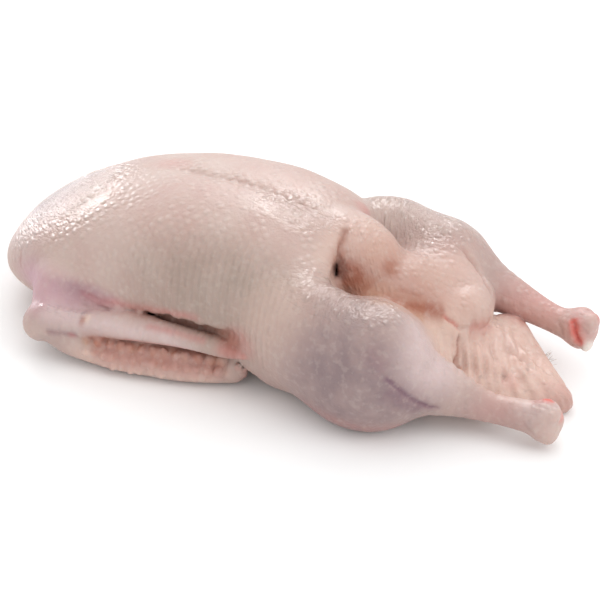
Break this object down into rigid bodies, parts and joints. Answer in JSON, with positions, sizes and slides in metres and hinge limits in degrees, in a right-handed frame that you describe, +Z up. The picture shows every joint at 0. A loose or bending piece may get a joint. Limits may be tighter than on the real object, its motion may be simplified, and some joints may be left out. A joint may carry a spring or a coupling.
{
  "type": "whole raw wild duck",
  "caption": "Plucked and drawn raw duck lying on its back, breast up, wings folded at its sides and legs stretched back beside the tail.",
  "frame": {"origin": "on the resting plane, under the centre of the duck's bounding box", "axes": "+X towards the tail and feet, +Z up through the breast, -Y the duck's right side"},
  "size_m": [0.2998, 0.1372, 0.084],
  "materials": {
    "duck_skin": "moist raw poultry skin, pale pinkish beige with a goose-bump grain, semi-gloss and slightly translucent"
  },
  "bodies": {
    "root": {"duck": "duck_skin"}
  },
  "joints": []
}
